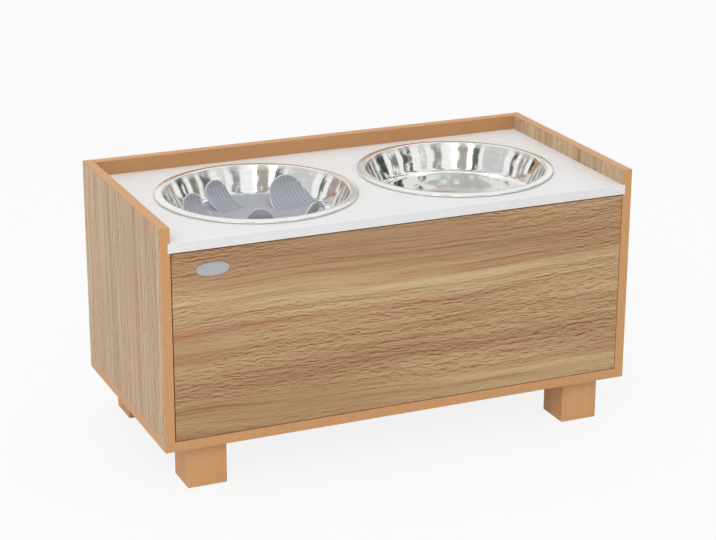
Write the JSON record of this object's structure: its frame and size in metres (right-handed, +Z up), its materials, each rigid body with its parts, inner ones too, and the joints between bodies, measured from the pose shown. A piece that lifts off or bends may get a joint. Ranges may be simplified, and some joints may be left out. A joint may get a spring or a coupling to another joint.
{
  "type": "elevated pet feeder with storage",
  "caption": "Wood-look box on block feet with two let-in steel bowls, a slow-feeder insert and a push-to-open storage drawer behind its front.",
  "frame": {"origin": "on the floor under the middle of the box", "axes": "+X to the right as seen from the front, +Y to the back, +Z up; the drawer opens towards -Y"},
  "size_m": [0.6, 0.296, 0.323],
  "materials": {
    "oak_upright": "matt, upright wood grain",
    "oak_level": "matt, level wood grain",
    "plain_laminate": "matt, plain",
    "edge_band": "matt",
    "white_laminate": "matt white",
    "white_band": "matt white",
    "hardboard": "smooth",
    "beech": "fluted",
    "foot_wood": "matt",
    "coated_steel": "powder coated",
    "zinc_steel": "zinc plated",
    "polished_steel": "polished",
    "grey_plastic": "matt, ribbed",
    "latch_plastic": "matt",
    "nylon": "smooth"
  },
  "bodies": {
    "cabinet": {"left_side_panel": "oak_upright", "right_side_panel": "oak_upright", "back_panel": "plain_laminate", "bottom_panel": "oak_level", "top_board": "white_laminate", "left_side_band": "edge_band", "right_side_band": "edge_band", "back_band": "edge_band", "bottom_band": "edge_band", "top_board_band": "white_band", "foot_front_left": "foot_wood", "foot_front_right": "foot_wood", "foot_rear_left": "foot_wood", "foot_rear_right": "foot_wood", "foot_screws": "zinc_steel", "carcass_screws": "zinc_steel", "cam_locks": "zinc_steel", "cam_bolts": "zinc_steel", "dowels": "beech", "cabinet_runner_screws": "zinc_steel", "cabinet_wheel_pins": "zinc_steel", "push_latch_screws": "zinc_steel", "left_cabinet_runner": "coated_steel", "right_cabinet_runner": "coated_steel", "push_latch_housing": "latch_plastic"},
    "latch_plunger": {"push_latch_plunger": "zinc_steel"},
    "drawer": {"drawer_front": "oak_level", "drawer_front_band": "oak_level", "drawer_left_side": "white_laminate", "drawer_right_side": "white_laminate", "drawer_back": "white_laminate", "drawer_bottom": "hardboard", "left_drawer_runner": "coated_steel", "right_drawer_runner": "coated_steel", "latch_strike": "zinc_steel", "drawer_cam_locks": "zinc_steel", "drawer_cam_bolts": "zinc_steel", "drawer_box_screws": "zinc_steel", "drawer_bottom_nails": "zinc_steel", "drawer_runner_screws": "zinc_steel", "drawer_wheel_pins": "zinc_steel"},
    "left_front_roller": {"left_front_wheel": "nylon"},
    "right_front_roller": {"right_front_wheel": "nylon"},
    "left_rear_roller": {"left_rear_wheel": "nylon"},
    "right_rear_roller": {"right_rear_wheel": "nylon"},
    "left_dish": {"left_bowl": "polished_steel"},
    "right_dish": {"right_bowl": "polished_steel"},
    "feeder_insert": {"slow_feeder_insert": "grey_plastic"}
  },
  "joints": [
    {"name": "latch_push", "type": "slide", "parent": "cabinet", "child": "latch_plunger", "axis": [0, -1, 0], "range_m": [-0.0025, 0.02]},
    {"name": "drawer_slide", "type": "slide", "parent": "latch_plunger", "child": "drawer", "axis": [0, -1, 0], "range_m": [0, 0.17]},
    {"name": "left_front_roller_spin", "type": "hinge", "parent": "cabinet", "child": "left_front_roller", "pos_m": [-0.2822, -0.121, 0.08435], "axis": [1, 0, 0], "range_deg": [-10, 1150]},
    {"name": "right_front_roller_spin", "type": "hinge", "parent": "cabinet", "child": "right_front_roller", "pos_m": [0.2822, -0.121, 0.08435], "axis": [1, 0, 0], "range_deg": [-10, 1150]},
    {"name": "left_rear_roller_spin", "type": "hinge", "parent": "drawer", "child": "left_rear_roller", "pos_m": [-0.2822, 0.088, 0.08085], "axis": [1, 0, 0], "range_deg": [-10, 1150]},
    {"name": "right_rear_roller_spin", "type": "hinge", "parent": "drawer", "child": "right_rear_roller", "pos_m": [0.2822, 0.088, 0.08085], "axis": [1, 0, 0], "range_deg": [-10, 1150]},
    {"name": "left_dish_lift", "type": "slide", "parent": "cabinet", "child": "left_dish", "axis": [0, 0, 1], "range_m": [0, 0.08]},
    {"name": "right_dish_lift", "type": "slide", "parent": "cabinet", "child": "right_dish", "axis": [0, 0, 1], "range_m": [0, 0.08]},
    {"name": "insert_lift", "type": "slide", "parent": "left_dish", "child": "feeder_insert", "axis": [0, 0, 1], "range_m": [0, 0.06]}
  ],
  "couplings": [
    {"joint": "left_front_roller_spin", "follows": "drawer_slide", "rad_per_m": 117.65},
    {"joint": "right_front_roller_spin", "follows": "drawer_slide", "rad_per_m": 117.65},
    {"joint": "left_rear_roller_spin", "follows": "drawer_slide", "rad_per_m": 117.65},
    {"joint": "right_rear_roller_spin", "follows": "drawer_slide", "rad_per_m": 117.65}
  ]
}
